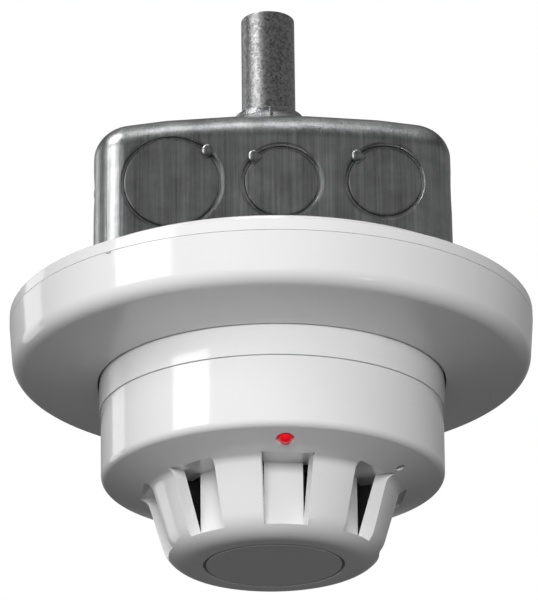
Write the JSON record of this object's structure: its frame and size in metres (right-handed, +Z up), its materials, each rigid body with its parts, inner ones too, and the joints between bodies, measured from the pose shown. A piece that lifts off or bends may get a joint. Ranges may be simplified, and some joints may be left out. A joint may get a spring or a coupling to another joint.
{
  "type": "plug-in heat detector",
  "caption": "Round white plug-in heat detector with a vented nose and red status lamp, on a wide trim flange, square steel box and conduit stub.",
  "frame": {"origin": "centre of the conduit's open top end, the end that the building's conduit run holds", "axes": "+Z up along the conduit; -Y is the front, towards the lamp; the nose points down, -Z"},
  "size_m": [0.1524, 0.1524, 0.1715],
  "materials": {
    "galvanised": "satin",
    "box_steel": "satin",
    "zinc_cast": "satin",
    "zinc_screw": "satin",
    "green_screw": "satin",
    "white_gloss": "gloss",
    "white_matte": "matte",
    "black_plastic": "matte",
    "contact_brass": "satin",
    "board_green": "satin",
    "chip_black": "matte",
    "header_white": "matte",
    "lamp_red": "gloss",
    "emitter": "gloss",
    "bezel_white": "gloss",
    "thermistor_epoxy": "gloss",
    "lead_wire": "satin"
  },
  "bodies": {
    "mounting": {"conduit": "galvanised", "connector_body": "zinc_cast", "connector_nut": "zinc_cast", "compression_ring": "zinc_screw", "connector_locknut": "zinc_screw", "junction_box": "box_steel", "ground_screw": "green_screw", "plate_screws": "zinc_screw", "mounting_plate": "white_gloss", "detector_base": "white_gloss", "base_screws": "zinc_screw", "terminal_clips": "contact_brass", "wire_clamps": "zinc_screw", "terminal_screws": "zinc_screw"},
    "trim": {"trim_flange": "white_gloss"},
    "head": {"head_cover": "white_gloss", "nose_disc": "white_matte", "head_chassis": "white_matte", "contact_blades": "contact_brass", "head_screws": "zinc_screw", "circuit_board": "board_green", "processor_chip": "chip_black", "capacitors": "chip_black", "wire_header": "header_white", "lamp_emitter": "emitter", "lamp_lens": "lamp_red", "lamp_bezel": "bezel_white", "chamber_baffle": "black_plastic", "thermistor_holder": "black_plastic", "thermistor_leads": "lead_wire", "thermistor_bead": "thermistor_epoxy"}
  },
  "joints": [
    {"name": "head_twist", "type": "hinge", "parent": "mounting", "child": "head", "pos_m": [0, 0, -0.146], "axis": [0, 0, -1], "range_deg": [0, 20]},
    {"name": "trim_slide", "type": "slide", "parent": "mounting", "child": "trim", "axis": [0, 0, -1], "range_m": [0, 0.06]}
  ]
}
